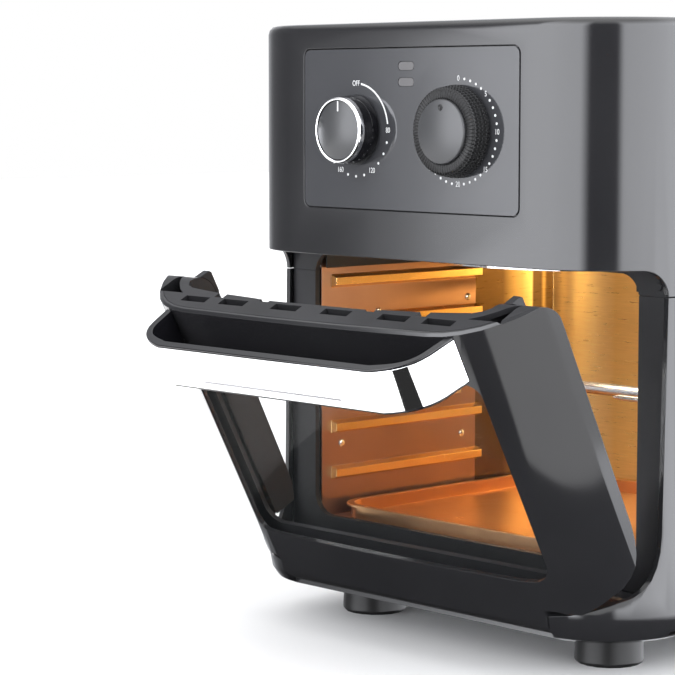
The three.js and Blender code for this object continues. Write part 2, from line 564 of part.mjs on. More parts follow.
function doorInnerFrame() {
  const half = DOOR_POCKET_X - 0.4;
  const clear = WINDOW.halfWidth + 2;
  const plate = cut(common(cabinetBlock(WALL + GAP, 0, 400), box(-half, half, DOOR_INNER - 3, DOOR_INNER, 56.4,
    DOOR_TOP - 1)), through(roundedRect(-clear, clear, 66, 210, 12), -20, 40));
  const lid = common(cabinetBlock(WALL + GAP, DOOR_TOP - DOOR_LID, DOOR_TOP),
    box(-half, half, 0, DOOR_INNER, 0, 400));
  const overlap = DOOR_INNER - 0.5;
  const lidWing = upright(polygon([[40, overlap], [160, overlap], [160, 48], [CHEEK_X, 48], [CHEEK_X, 33],
    [128, 29], [122, 26.5], [110, 25], [90, 23], [60, 21.5], [40, DOOR_INNER]]), DOOR_TOP - DOOR_LID, DOOR_TOP);
  const cheekBox = cut(box(CHEEK_X, 160, overlap, 60, 66, DOOR_TOP),
    box(CHEEK_X + 2.5, 170, DOOR_INNER, 43.5, 68.5, DOOR_TOP - DOOR_LID));
  const wing = common(join(lidWing, cheekBox), cabinetBlock(DOOR_CHEEK + GAP, 0, 400),
    across(doorSideView(1 + GAP), -200, 200));
  let body = join(plate, lid, bothSides(wing));
  const slot = box(-11.5, 11.5, 11.5, 17.5, DOOR_TOP - DOOR_LID - 1, 260);
  for (const x of [22, 70, 106]) body = cut(body, bothSides(slot.translate([x, 0, 0])));
  const notch = box(-4, 4, DOOR_INNER - 1.5, 40, DOOR_TOP - 4, 260);
  for (const x of [46, 88]) body = cut(body, bothSides(notch.translate([x, 0, 0])));
  return body;
}
piece(door, 'door_inner_frame', doorInnerFrame(), mattBlack);

piece(door, 'door_outer_glass', common(cut(cabinetBlock(0.6, 50, 250), cabinetBlock(3.8, 40, 260)),
  through(roundedRect(-WINDOW.halfWidth + GAP, WINDOW.halfWidth - GAP, WINDOW.bottom + GAP,
    WINDOW.top - GAP, WINDOW.radius), -20, 40)), clearGlass);
piece(door, 'door_inner_glass', through(roundedRect(-133.6, 133.6, 60, 214, 3), 13.4, 16.7, 2), clearGlass);

// Plan of the handle's bow, drawn in by inset and closed well inside the door.
function handlePlan(inset) {
  const h = HANDLE;
  const shape = new THREE.Shape();
  const side = h.halfWidth - inset;
  shape.moveTo(-side, 14);
  shape.lineTo(-side + 4.6, -12);
  const flat = h.flat - inset * 0.5;
  const front = h.front + inset;
  shape.bezierCurveTo(-side + 8, -25, -h.flat - 13 + inset, front + 3, -flat, front);
  shape.lineTo(flat, front);
  shape.bezierCurveTo(h.flat + 13 - inset, front + 3, side - 8, -25, side - 4.6, -12);
  shape.lineTo(side, 14);
  shape.closePath();
  return shape;
}
const bow = (inset, z0, z1) => upright(handlePlan(inset), z0, z1, 8);
const doorFace = cabinetBlock(-GAP, 0, 400);
piece(door, 'handle_band', cut(bow(0, HANDLE.bottom, HANDLE.top), bow(BAND, 100, 300), doorFace,
  box(-60, 60, HANDLE.front - 1, HANDLE.front + 0.5, HANDLE.bottom + 4.5, HANDLE.top - 4.5)), chrome);
piece(door, 'handle_liner', cut(
  join(bow(BAND + GAP, HANDLE.bottom - 1, HANDLE.top + HANDLE.rim),
    bow(0, HANDLE.top + GAP, HANDLE.top + HANDLE.rim),
    bow(0.8, HANDLE.bottom - HANDLE.rim, HANDLE.bottom - GAP)),
  bow(BAND + LINER, HANDLE.bottom + 3, 300), doorFace), glossBlack);

for (const [side, sign] of [['left', -1], ['right', 1]]) {
  const outline = polygon([[30, 205], [30, 236.6], [50, 236.2], [51.6, 234.5], [51.6, 221], [46, 205]]);
  const hook = cut(across(outline, CHEEK_X + GAP, CHEEK_X + 6), across(doorSideView(1), -200, 200));
  piece(door, `latch_hook_${side}`, sign > 0 ? hook : hook.mirror([1, 0, 0]), mattBlack);
  const pin = hingeRod(4, 101, 127, 16);
  piece(door, `hinge_pin_${side}`, sign > 0 ? pin : pin.mirror([1, 0, 0]), steel);
}

// ---------------------------------------------------------------- origin: middle of the underside
const rest = THREE.MathUtils.degToRad(DOOR_REST);
const foremost = HINGE.y + (HANDLE.front - HINGE.y) * Math.cos(rest)
  - (HANDLE.top + HANDLE.rim - HINGE.z) * Math.sin(rest);
airFryer.position.y = -(REAR_END + foremost) / 2;

export default airFryer;
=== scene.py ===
"""Looks of the air fryer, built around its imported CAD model."""

import json
import math

import bmesh
import bpy
from mathutils import Matrix, Vector


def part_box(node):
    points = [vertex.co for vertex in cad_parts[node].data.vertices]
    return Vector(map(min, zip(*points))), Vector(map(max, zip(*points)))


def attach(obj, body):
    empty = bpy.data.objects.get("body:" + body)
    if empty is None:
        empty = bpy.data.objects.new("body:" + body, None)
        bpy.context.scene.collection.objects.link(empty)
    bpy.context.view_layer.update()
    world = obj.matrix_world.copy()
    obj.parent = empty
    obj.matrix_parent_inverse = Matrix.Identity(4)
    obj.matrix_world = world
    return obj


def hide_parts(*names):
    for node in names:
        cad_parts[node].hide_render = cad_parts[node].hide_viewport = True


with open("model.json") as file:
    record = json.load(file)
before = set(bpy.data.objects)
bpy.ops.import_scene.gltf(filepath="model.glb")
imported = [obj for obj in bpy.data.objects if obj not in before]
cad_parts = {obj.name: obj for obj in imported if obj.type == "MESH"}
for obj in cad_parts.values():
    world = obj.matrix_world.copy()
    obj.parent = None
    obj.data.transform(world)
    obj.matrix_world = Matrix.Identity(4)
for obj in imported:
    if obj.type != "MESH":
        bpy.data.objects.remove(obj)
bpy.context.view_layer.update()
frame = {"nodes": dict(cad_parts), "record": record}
RECORD = frame["record"]
NODES = frame["nodes"]
SLOT_OF = {part["node"]: part["material_slot"] for part in RECORD["subparts"]}
BODY_OF = {node: body for body, nodes in RECORD["behaviour"]["bodies"].items() for node in nodes}
JOINT = {joint["name"]: joint for joint in RECORD["behaviour"]["joints"]}
MM = 0.001

# ------------------------------------------------------------------ where things are
FRONT_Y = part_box("top_housing")[0].y
HINGE = Vector(JOINT["door_hinge"]["pos_m"])
REST_OPEN = -math.radians(JOINT["door_hinge"]["range_deg"][0])
DOOR_TURN = Matrix.Translation(HINGE) @ Matrix.Rotation(REST_OPEN, 4, "X") @ Matrix.Translation(-HINGE)
BOW_RADIUS = 3773 * MM      # plan radius of the cabinet's slightly bowed front
thermostat_axis = Vector(JOINT["thermostat_turn"]["pos_m"])
timer_axis = Vector(JOINT["timer_turn"]["pos_m"])


def front_y(x):
    """y of the cabinet's slightly bowed front at x."""
    return FRONT_Y + BOW_RADIUS - math.sqrt(BOW_RADIUS ** 2 - x ** 2)


# ------------------------------------------------------------------ materials
class Nodes:
    """A small wrapper that keeps node graphs short."""

    def __init__(self, name):
        self.material = bpy.data.materials.new(name)
        self.material.use_nodes = True
        self.tree = self.material.node_tree
        self.shader = self.tree.nodes["Principled BSDF"]
        coordinates = self.tree.nodes.new("ShaderNodeTexCoord")
        self.place = coordinates.outputs["Object"]

    def add(self, kind, **inputs):
        node = self.tree.nodes.new(kind)
        for name, value in inputs.items():
            self.feed(node.inputs[name.replace("_", " ")], value)
        return node

    def feed(self, socket, value):
        if isinstance(value, bpy.types.NodeSocket):
            self.tree.links.new(value, socket)
        else:
            socket.default_value = value

    def noise(self, scale, detail=3.0, stretch=(1, 1, 1)):
        mapping = self.add("ShaderNodeMapping", Vector=self.place, Scale=stretch)
        return self.add("ShaderNodeTexNoise", Vector=mapping.outputs["Vector"], Scale=scale, Detail=detail)

    def ramp(self, value, low, high, start=0.3, end=0.7):
        ramp = self.add("ShaderNodeValToRGB", Fac=value)
        ramp.color_ramp.elements[0].position = start
        ramp.color_ramp.elements[1].position = end
        ramp.color_ramp.elements[0].color = low if len(low) == 4 else (*low, 1)
        ramp.color_ramp.elements[1].color = high if len(high) == 4 else (*high, 1)
        return ramp.outputs["Color"]

    def rough(self, value, low, high):
        spread = self.add("ShaderNodeMapRange", Value=value, To_Min=low, To_Max=high)
        self.feed(self.shader.inputs["Roughness"], spread.outputs["Result"])

    def bump(self, height, strength, distance):
        bump = self.add("ShaderNodeBump", Height=height, Strength=strength, Distance=distance)
        self.feed(self.shader.inputs["Normal"], bump.outputs["Normal"])

    def set(self, **values):
        for name, value in values.items():
            self.shader.inputs[name.replace("_", " ")].default_value = value


def plastic(name, dark, light, roughness, grain, grain_scale=2600, **extra):
    m = Nodes(name)
    cloud = m.noise(14, 4).outputs["Fac"]
    m.feed(m.shader.inputs["Base Color"], m.ramp(cloud, dark, light))
    m.rough(m.noise(60, 5).outputs["Fac"], roughness * 0.88, roughness * 1.15)
    m.bump(m.noise(grain_scale, 2).outputs["Fac"], grain, 0.0002)
    m.set(**extra)
    return m.material


def metal(name, dark, light, roughness, brush=(1, 1, 60), scale=50, strength=0.05, **extra):
    m = Nodes(name)
    grain = m.noise(scale, 6, brush).outputs["Fac"]
    m.feed(m.shader.inputs["Base Color"], m.ramp(m.noise(9, 5).outputs["Fac"], dark, light))
    m.rough(grain, roughness * 0.75, roughness * 1.3)
    m.bump(grain, strength, 0.0003)
    m.set(Metallic=1.0, **extra)
    return m.material


def glass(name, tint):
    m = Nodes(name)
    deeper = tuple(c * 0.9 for c in tint)
    m.feed(m.shader.inputs["Base Color"], m.ramp(m.noise(5).outputs["Fac"], tint, deeper))
    m.set(Roughness=0.02, IOR=1.5, Alpha=0.045)
    m.material.blend_method = "BLEND"
    return m.material


def banded_brass(name, axis, bands):
    """Brushed brass-toned metal with painted reflections: its tone runs in soft light and dark bands along
    one axis; bands are (metres, colour).
    """
    m = Nodes(name)
    split = m.add("ShaderNodeSeparateXYZ", Vector=m.place)
    low, high = bands[0][0], bands[-1][0]
    along = m.add("ShaderNodeMapRange", Value=split.outputs[axis], From_Min=low, From_Max=high)
    ramp = m.add("ShaderNodeValToRGB", Fac=along.outputs["Result"])
    while len(ramp.color_ramp.elements) < len(bands):
        ramp.color_ramp.elements.new(0.5)
    for element, (position, colour) in zip(ramp.color_ramp.elements, bands):
        element.position = (position - low) / (high - low)
        element.color = (*colour, 1)
    grain = m.noise(70, 6, (1, 1, 16)).outputs["Fac"]
    shade = m.add("ShaderNodeHueSaturation", Color=ramp.outputs["Color"])
    spread = m.add("ShaderNodeMapRange", Value=grain, To_Min=0.86, To_Max=1.14)
    m.feed(shade.inputs["Value"], spread.outputs["Result"])
    m.feed(m.shader.inputs["Base Color"], shade.outputs["Color"])
    m.rough(grain, 0.22, 0.38)
    m.bump(grain, 0.04, 0.0003)
    m.set(Metallic=0.85)
    return m.material


MATERIALS = {
    "shell_plastic": plastic("satin_shell", (0.010, 0.010, 0.011), (0.013, 0.013, 0.014), 0.11, 0.006,
                             IOR=1.5),
    "black_plastic": plastic("textured_black", (0.014, 0.014, 0.015), (0.022, 0.022, 0.024), 0.42, 0.16,
                             1900, IOR=1.5, Specular_IOR_Level=0.16),
    "gloss_black": plastic("gloss_black", (0.004, 0.004, 0.005), (0.006, 0.006, 0.007), 0.06, 0.004,
                           IOR=1.5, Specular_IOR_Level=0.4),
    "knob_black": plastic("knob_black", (0.010, 0.010, 0.010), (0.016, 0.016, 0.017), 0.3, 0.06,
                          IOR=1.5, Specular_IOR_Level=0.22),
    "panel_gloss": plastic("panel_gloss", (0.036, 0.037, 0.041), (0.042, 0.043, 0.047), 0.05, 0.002,
                           IOR=1.5, Specular_IOR_Level=0.42),
    "chrome": metal("polished_chrome", (0.9, 0.9, 0.91), (0.95, 0.95, 0.96), 0.05, (1, 1, 1), 400, 0.004),
    "cavity_steel": metal("coated_cavity_wall", (0.36, 0.22, 0.16), (0.5, 0.32, 0.24), 0.36, (1, 1, 14), 60,
                          0.05),
    "bright_steel": metal("bright_steel", (0.55, 0.55, 0.56), (0.68, 0.68, 0.69), 0.25, (1, 30, 1), 80, 0.05),
    "dark_steel": metal("heat_darkened_steel", (0.12, 0.11, 0.1), (0.24, 0.22, 0.2), 0.45, (1, 1, 1), 200,
                        0.2),
    "rubber": plastic("foot_rubber", (0.010, 0.010, 0.010), (0.018, 0.018, 0.018), 0.4, 0.12, 1400,
                      IOR=1.5, Specular_IOR_Level=0.2),
    "lens": plastic("lamp_lens", (0.07, 0.068, 0.07), (0.1, 0.097, 0.1), 0.2, 0.02, IOR=1.5),
    "glass": glass("clear_glass", (0.03, 0.034, 0.034)),
}
PRINT = plastic("white_print", (0.78, 0.79, 0.8), (0.86, 0.87, 0.88), 0.5, 0.02)


def dress(piece, slot, body, material=None):
    """Gives a piece its finish and the CAD body that it moves with."""
    piece.data.materials.clear()
    piece.data.materials.append(material or MATERIALS[slot])
    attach(piece, body)
    return piece


# ------------------------------------------------------------------ mesh helpers
def placed(name, data):
    """An object in the scene that holds the data."""
    item = bpy.data.objects.new(name, data)
    bpy.context.scene.collection.objects.link(item)
    return item


def closed(bm, name):
    """The bmesh as a mesh with this name; the bmesh is freed."""
    mesh = bpy.data.meshes.new(name)
    bm.to_mesh(mesh)
    bm.free()
    return mesh


def finished(name, mesh, smooth_angle=40):
    """An object from the mesh, shaded smooth except over edges sharper than the angle in degrees."""
    bm = bmesh.new()
    bm.from_mesh(mesh)
    bmesh.ops.recalc_face_normals(bm, faces=bm.faces)
    for face in bm.faces:
        face.smooth = True
    limit = math.radians(smooth_angle)
    for edge in bm.edges:
        edge.smooth = edge.calc_face_angle(0.0) < limit
    bm.to_mesh(mesh)
    bm.free()
    return placed(name, mesh)


def refined(node, bevel=0.5 * MM, segments=3, crease=35, split_at=None):
    """The CAD solid with its flat patches joined, its edges rounded and its facets shaded smooth."""
    bm = bmesh.new()
    bm.from_mesh(NODES[node].data)
    bmesh.ops.remove_doubles(bm, verts=bm.verts, dist=2e-6)
    bmesh.ops.dissolve_limit(bm, angle_limit=math.radians(0.6), verts=bm.verts, edges=bm.edges)
    if split_at:
        everything = bm.verts[:] + bm.edges[:] + bm.faces[:]
        bmesh.ops.bisect_plane(bm, geom=everything, plane_co=(0, split_at, 0), plane_no=(0, 1, 0))
    piece = finished(f"{node}_finished", closed(bm, node + "_mesh"), crease)
    if bevel:
        modifier = piece.modifiers.new("rounded edges", "BEVEL")
        modifier.width = bevel
        modifier.segments = segments
        modifier.limit_method = "ANGLE"
        modifier.angle_limit = math.radians(crease)
        modifier.use_clamp_overlap = True
        modifier.harden_normals = True
    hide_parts(node)
    return dress(piece, SLOT_OF[node], BODY_OF[node])


def painted(piece, finishes, choose):
    """Gives faces another finish: choose(centre, normal) returns an index into finishes, or None."""
    for finish in finishes:
        piece.data.materials.append(finish)
    for face in piece.data.polygons:
        index = choose(face.center, face.normal)
        if index is not None:
            face.material_index = 1 + index


def turned_piece(name, profile, axis_point, segments=96):
    """A solid turned about an axis that points forwards (-Y); profile is (radius, height) in mm."""
    bm = bmesh.new()
    rings = []
    for radius, height in profile:
        if radius < 1e-6:
            rings.append([bm.verts.new(axis_point + Vector((0, -height * MM, 0)))])
            continue
        ring = []
        for i in range(segments):
            angle = 2 * math.pi * i / segments
            ring.append(bm.verts.new(axis_point + Vector(
                (radius * MM * math.sin(angle), -height * MM, radius * MM * math.cos(angle)))))
        rings.append(ring)
    for lower, upper in zip(rings, rings[1:]):
        for i in range(segments):
            j = (i + 1) % segments
            corners = [lower[i % len(lower)], lower[j % len(lower)],
                       upper[j % len(upper)], upper[i % len(upper)]]
            bm.faces.new(list(dict.fromkeys(corners)))
    return finished(name, closed(bm, name + "_mesh"), 50)


def lofted(name, rings, smooth_angle=50):
    """A closed strip of rings of points; every ring joins the next and the last joins the first."""
    bm = bmesh.new()
    made = [[bm.verts.new(point) for point in ring] for ring in rings]
    for i, ring in enumerate(made):
        after = made[(i + 1) % len(made)]
        for j in range(len(ring)):
            k = (j + 1) % len(ring)
            bm.faces.new((ring[j], ring[k], after[k], after[j]))
    return finished(name, closed(bm, name + "_mesh"), smooth_angle)


def dial_ring(axis_point, count, radius_at, height_at):
    """A ring of points round a dial's axis; radius_at and height_at give mm at an angle."""
    ring = []
    for i in range(count):
        angle = 2 * math.pi * i / count
        radius = radius_at(angle) * MM
        ring.append(axis_point + Vector(
            (radius * math.sin(angle), -height_at(angle) * MM, radius * math.cos(angle))))
    return ring


# ------------------------------------------------------------------ CAD shapes with finished edges
BEVELS = {
    "top_housing": 0.5, "lower_shell": 0.5, "door_shell": 0.8, "front_frame": 0.8, "door_inner_frame": 0.7,
    "inner_shroud": 0.8, "control_panel": 0.35, "handle_band": 0.4, "handle_liner": 0.7, "rear_cover": 0.6,
    "base_plate": 0.5, "visor_plate": 0.4, "latch_hook_left": 0.9, "latch_hook_right": 0.9,
    "foot_front_left": 0.7, "foot_front_right": 0.7, "foot_rear_left": 0.7, "foot_rear_right": 0.7,
    "cord_gland": 0.4, "drip_tray": 0.35, "cavity_liner": 0.4, "spit_rest": 0.5, "spit_fork_left": 0.4,
    "spit_fork_right": 0.4, "spit_rod": 0.0, "door_outer_glass": 0.25, "door_inner_glass": 0.25,
    "lamp_lens_upper": 0.2, "lamp_lens_lower": 0.2,
}
PANEL_END = FRONT_Y + 204 * MM      # where the coated side panels of the cavity end
PIECES = {node: refined(node, width * MM, split_at=PANEL_END if node == "cavity_liner" else None)
          for node, width in BEVELS.items()}
DETAILED = {"thermostat_knob", "thermostat_knob_ring", "timer_knob", "timer_knob_cap"}
for node, item in NODES.items():
    if node not in BEVELS and node not in DETAILED:
        item.data.materials.clear()
        item.data.materials.append(MATERIALS[SLOT_OF[node]])

# ------------------------------------------------------------------ brass-toned rear of the cavity, with painted reflection bands
liner_low, liner_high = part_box("cavity_liner")
# Painted reflections: these tones are light and dark reflection bands painted along the cavity's side walls
# and across its back wall.
DARK_PAINTED_REFLECTION, MID_PAINTED_REFLECTION, GOLD_PAINTED_REFLECTION = (0.13, 0.075, 0.028), (0.5, 0.33, 0.12), (0.85, 0.62, 0.26)
brass_side_painted_reflections = banded_brass("brass_side_painted_reflections", "Y", [(FRONT_Y + depth * MM, tone) for depth, tone in (
    (204, DARK_PAINTED_REFLECTION), (232, DARK_PAINTED_REFLECTION), (252, MID_PAINTED_REFLECTION), (262, GOLD_PAINTED_REFLECTION), (264, DARK_PAINTED_REFLECTION),
    (272, DARK_PAINTED_REFLECTION), (275, MID_PAINTED_REFLECTION), (278, DARK_PAINTED_REFLECTION), (285, DARK_PAINTED_REFLECTION))])
brass_back_painted_reflections = banded_brass("brass_back_painted_reflections", "X", [(x * MM, tone) for x, tone in (
    (-138, GOLD_PAINTED_REFLECTION), (-118, (1.0, 0.8, 0.44)), (-98, (1.0, 0.84, 0.5)), (-78, (0.8, 0.57, 0.23)),
    (-30, (0.7, 0.47, 0.18)), (138, (0.62, 0.42, 0.16)))])
# The rails are painted a lighter brass than the sheet they are pressed from: a painted highlight.
rail_brass_painted_highlight = metal("rail_brass_painted_highlight", (0.95, 0.66, 0.28), (1.0, 0.76, 0.36), 0.24, (1, 14, 1), 60, 0.03)
LINER_SHEET = 1.2 * MM
RAIL_REACH = 6 * MM         # how far the rails stand into the cavity
RAIL_CLEAR = 20 * MM        # nothing this near the cavity's top belongs to a rail
BACK_ZONE = 4 * MM
ON_WALL = 0.2 * MM


def liner_finish(centre, normal):
    """0 for the brass side behind the coated panels and 1 for the back wall, both with painted reflection
    bands; 2 for a rail, with its painted highlight.
    """
    off_wall = liner_high.x - LINER_SHEET - abs(centre.x)
    if normal.y < -0.9 and centre.y > liner_high.y - BACK_ZONE:
        return 1
    if ON_WALL < off_wall < RAIL_REACH and centre.z < liner_high.z - RAIL_CLEAR:
        return 2
    if abs(off_wall) < ON_WALL and centre.y > PANEL_END:
        return 0
    return None


painted(PIECES["cavity_liner"], [brass_side_painted_reflections, brass_back_painted_reflections, rail_brass_painted_highlight], liner_finish)
tray_copper = metal("tray_copper", (0.62, 0.34, 0.16), (0.78, 0.46, 0.24), 0.3, (1, 1, 1), 90, 0.06)
painted(PIECES["drip_tray"], [tray_copper], lambda centre, normal: 0)

# The tops of the door's cheeks have the texture of its lid.
DOOR_TOP = 238.5 * MM
CHEEK_START = 20 * MM       # behind the cabinet's front, with the door shut
CHEEK_DROP = 17 * MM
shut = DOOR_TURN.inverted()


def cheek_finish(centre, normal):
    """0 for the upward faces near the top of the door's cheeks."""
    place = shut @ centre
    on_cheek = place.y > FRONT_Y + CHEEK_START and place.z > DOOR_TOP - CHEEK_DROP
    return 0 if on_cheek and (shut.to_3x3() @ normal).z > 0.25 else None


painted(PIECES["door_shell"], [MATERIALS["black_plastic"]], cheek_finish)

# ------------------------------------------------------------------ blank badge in the handle's chrome band
BADGE = {"half_width": 64, "bottom": 212.3, "top": 229.8, "radius": 2.5, "front": -33.9}


def badge_outline(inset, depth):
    """The badge's rounded rectangle on the band, mm; the door's rest turn is applied."""
    ring = []
    b = BADGE
    radius = b["radius"] - inset
    corners = [(b["half_width"] - b["radius"], b["top"] - b["radius"], 0),
               (b["radius"] - b["half_width"], b["top"] - b["radius"], 90),
               (b["radius"] - b["half_width"], b["bottom"] + b["radius"], 180),
               (b["half_width"] - b["radius"], b["bottom"] + b["radius"], 270)]
    for x, z, start in corners:
        for step in range(5):
            angle = math.radians(start + 22.5 * step)
            place = Vector((x + radius * math.cos(angle), b["front"] + depth,
                            z + radius * math.sin(angle))) * MM
            place.y += FRONT_Y
            ring.append(DOOR_TURN @ place)
    return ring


BADGE_RINGS = ((0, 0.1), (0.1, 0), (0.5, 0), (0.6, 0.1), (0.3, 0.5))
badge_edge = lofted("badge_edge", [badge_outline(*ring) for ring in BADGE_RINGS])
# The ring round the badge is dull grey metal: painted shade for the line along the badge's embossed edge.
badge_rim_painted_shade = metal("badge_rim_painted_shade", (0.3, 0.3, 0.31), (0.4, 0.4, 0.41), 0.3, (1, 1, 1), 200, 0.01)
dress(badge_edge, "chrome", "door", badge_rim_painted_shade)

# ------------------------------------------------------------------ thermostat knob
knob_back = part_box("thermostat_knob")[1].y
thermostat_front = thermostat_axis.copy()
thermostat_front.y = knob_back
body = turned_piece("thermostat_knob_body", [
    (0, 0.0), (21.0, 0.0), (21.5, 0.15), (21.7, 0.5), (21.0, 6.0), (20.55, 10.8), (18.3, 10.8), (18.2, 14.1),
    (17.9, 14.35), (0, 14.4)], thermostat_front)
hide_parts("thermostat_knob")
KNOB_FACE = plastic("knob_face", (0.035, 0.036, 0.038), (0.042, 0.043, 0.046), 0.34, 0.02,
                    IOR=1.5, Specular_IOR_Level=0.5)
FACE_FROM = knob_back - 14 * MM     # the knob's face lies in front of this
dress(body, "gloss_black", "thermostat_control")
painted(body, [KNOB_FACE], lambda centre, normal: 0 if normal.y < -0.9 and centre.y < FACE_FROM else None)
ring_profile = [(18.35, 11.1), (20.5, 11.1), (20.35, 13.2), (19.95, 14.8), (19.6, 15.15), (18.9, 15.2),
                (18.5, 15.0)]
chrome_ring = lofted("thermostat_chrome_ring", [
    dial_ring(thermostat_front, 120, lambda a, r=radius: r, lambda a, h=height: h)
    for radius, height in ring_profile])
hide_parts("thermostat_knob_ring")
dress(chrome_ring, "chrome", "thermostat_control")


def printed_bar(name, centre, width, length, depth, body_name):
    """A small raised white bar, upright, with rounded ends."""
    bm = bmesh.new()
    outline = []
    for end, start in ((1, 0), (-1, math.pi)):
        for i in range(9):
            angle = start + math.pi * i / 8
            outline.append((width / 2 * math.cos(angle),
                            end * (length / 2 - width / 2) + width / 2 * math.sin(angle)))
    front = [bm.verts.new(centre + Vector((x, -depth, z))) for x, z in outline]
    back = [bm.verts.new(centre + Vector((x, 0, z))) for x, z in outline]
    bm.faces.new(front)
    bm.faces.new(list(reversed(back)))
    for i in range(len(front)):
        j = (i + 1) % len(front)
        bm.faces.new((front[i], back[i], back[j], front[j]))
    return dress(finished(name, closed(bm, name + "_mesh")), "lens", body_name, PRINT)


printed_bar("thermostat_pointer", thermostat_front + Vector((0, -14.35 * MM, 14.6 * MM)), 1.1 * MM, 6.4 * MM,
            0.12 * MM, "thermostat_control")

# ------------------------------------------------------------------ timer knob
RIBS = 72
timer_front = timer_axis.copy()
timer_front.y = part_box("timer_knob")[1].y


def rib_wave(angle):
    """Flat-topped ribs round the knob, from 0 in a groove to 1 on a rib."""
    return min(1.0, max(0.0, 0.5 + 0.95 * math.cos(RIBS * angle)))


# The knob's rings as (radius, height, how far ribs widen it, how far ribs raise it), mm.
side = [(0.02, 0.05, 0, 0), (26.4, 0.05, 0, 0), (26.6, 0.5, 0.6, 0)]
for step in range(4):
    low = 0.7 + step * 2.6
    radius = 26.9 - step * 0.42
    side += [(radius, low, 0.62, 0), (radius - 0.1, low + 2.0, 0.62, 0), (radius - 0.5, low + 2.2, 0.15, 0),
             (radius - 0.5, low + 2.45, 0.15, 0)]
side += [(25.0, 11.2, 0.5, 0.1), (24.4, 12.0, 0.3, 0.25), (23.6, 12.3, 0.0, 0.55), (20.4, 12.4, 0.0, 0.5),
         (19.4, 12.0, 0, 0.1), (19.3, 10.9, 0, 0), (0.02, 10.9, 0, 0)]
timer_body = lofted("timer_knob_body", [
    dial_ring(timer_front, RIBS * 8, lambda a, r=radius, k=out: r + k * rib_wave(a),
              lambda a, h=height, k=up: h + k * (rib_wave(a) - 0.5)) for radius, height, out, up in side], 60)
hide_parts("timer_knob")
dress(timer_body, "knob_black", "timer_control")
cap = turned_piece("timer_knob_disc", [
    (0, 11.2), (19.0, 11.2), (19.05, 13.2), (18.8, 13.7), (18.3, 13.95), (0, 14.15)], timer_front, 120)
dimple = turned_piece("timer_knob_dimple", [
    (0, 13.9), (1.9, 13.9), (1.9, 14.15), (1.5, 14.3), (1.2, 14.12), (0, 14.0)],
    timer_front + Vector((0, 0, 14.2 * MM)), 32)
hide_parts("timer_knob_cap")
dress(cap, "panel_gloss", "timer_control", KNOB_FACE)
dress(dimple, "knob_black", "timer_control")


# ------------------------------------------------------------------ print on the control panel
PRINT_HEIGHT = 0.05 * MM
PRINT_THICKNESS = 0.03 * MM
DOT_RADIUS = 0.82 * MM
ARC_WIDTH = 1.1 * MM
LABEL_SIZE = 4.6 * MM
LABEL_SQUEEZE = 0.82        # width of the figures against their natural width


def flat_patch(bm, points):
    """A flat patch just in front of the bowed panel from (x, z) points."""
    bm.faces.new([bm.verts.new((x, front_y(x) - PRINT_HEIGHT, z)) for x, z in points])


def mark_dot(bm, x, z, radius):
    flat_patch(bm, [(x + radius * math.cos(a), z + radius * math.sin(a))
                    for a in (2 * math.pi * i / 16 for i in range(16))])


def mark_arc(bm, cx, cz, radius, width, start, end, steps=36):
    """A band along a circle; angles in degrees clockwise from the top."""
    for i in range(steps):
        corners = []
        for angle, edge in ((i, -1), (i, 1), (i + 1, 1), (i + 1, -1)):
            turn = math.radians(start + (end - start) * angle / steps)
            r = radius + edge * width / 2
            corners.append((cx + r * math.sin(turn), cz + r * math.cos(turn)))
        flat_patch(bm, corners)


def mark_text(bm, text, x, z, size):
    """Upright figures centred on (x, z)."""
    curve = bpy.data.curves.new("print_" + text, "FONT")
    curve.body = text
    curve.size = size
    curve.align_x = "CENTER"
    curve.align_y = "CENTER"
    holder = placed("print_holder", curve)
    bpy.context.view_layer.update()
    mesh = bpy.data.meshes.new_from_object(holder.evaluated_get(bpy.context.evaluated_depsgraph_get()))
    bpy.data.objects.remove(holder)
    count = len(bm.verts)
    bm.from_mesh(mesh)
    bm.verts.ensure_lookup_table()
    for vert in bm.verts[count:]:
        across, up = vert.co.x * LABEL_SQUEEZE, vert.co.y
        vert.co = Vector((x + across, front_y(x + across) - PRINT_HEIGHT, z + up))


def dial_scale(name, axis, radius, labels, dots, arc=None):
    """The print round a dial; angles are degrees clockwise from the top."""
    bm = bmesh.new()

    def place(degrees):
        turn = math.radians(degrees)
        return axis.x + radius * math.sin(turn), axis.z + radius * math.cos(turn)

    for degrees in dots:
        mark_dot(bm, *place(degrees), DOT_RADIUS)
    for degrees, text in labels:
        mark_text(bm, text, *place(degrees), LABEL_SIZE)
    if arc:
        mark_arc(bm, axis.x, axis.z, radius, ARC_WIDTH, *arc)
    piece = placed(name, closed(bm, name))
    thickness = piece.modifiers.new("print", "SOLIDIFY")
    thickness.thickness = PRINT_THICKNESS
    return dress(piece, "lens", "cabinet", PRINT)


dial_scale("thermostat_scale", thermostat_axis, 28.5 * MM,
           [(0, "OFF"), (90, "80"), (150, "120"), (210, "160"), (270, "200")],
           [base + 15 * i for base in (90, 150, 210) for i in (1, 2, 3)], (9, 82))
dial_scale("timer_scale", timer_axis, 31.2 * MM, [(9 * minutes, str(minutes)) for minutes in range(0, 31, 5)],
           [9 * minutes for minutes in range(31) if minutes % 5])

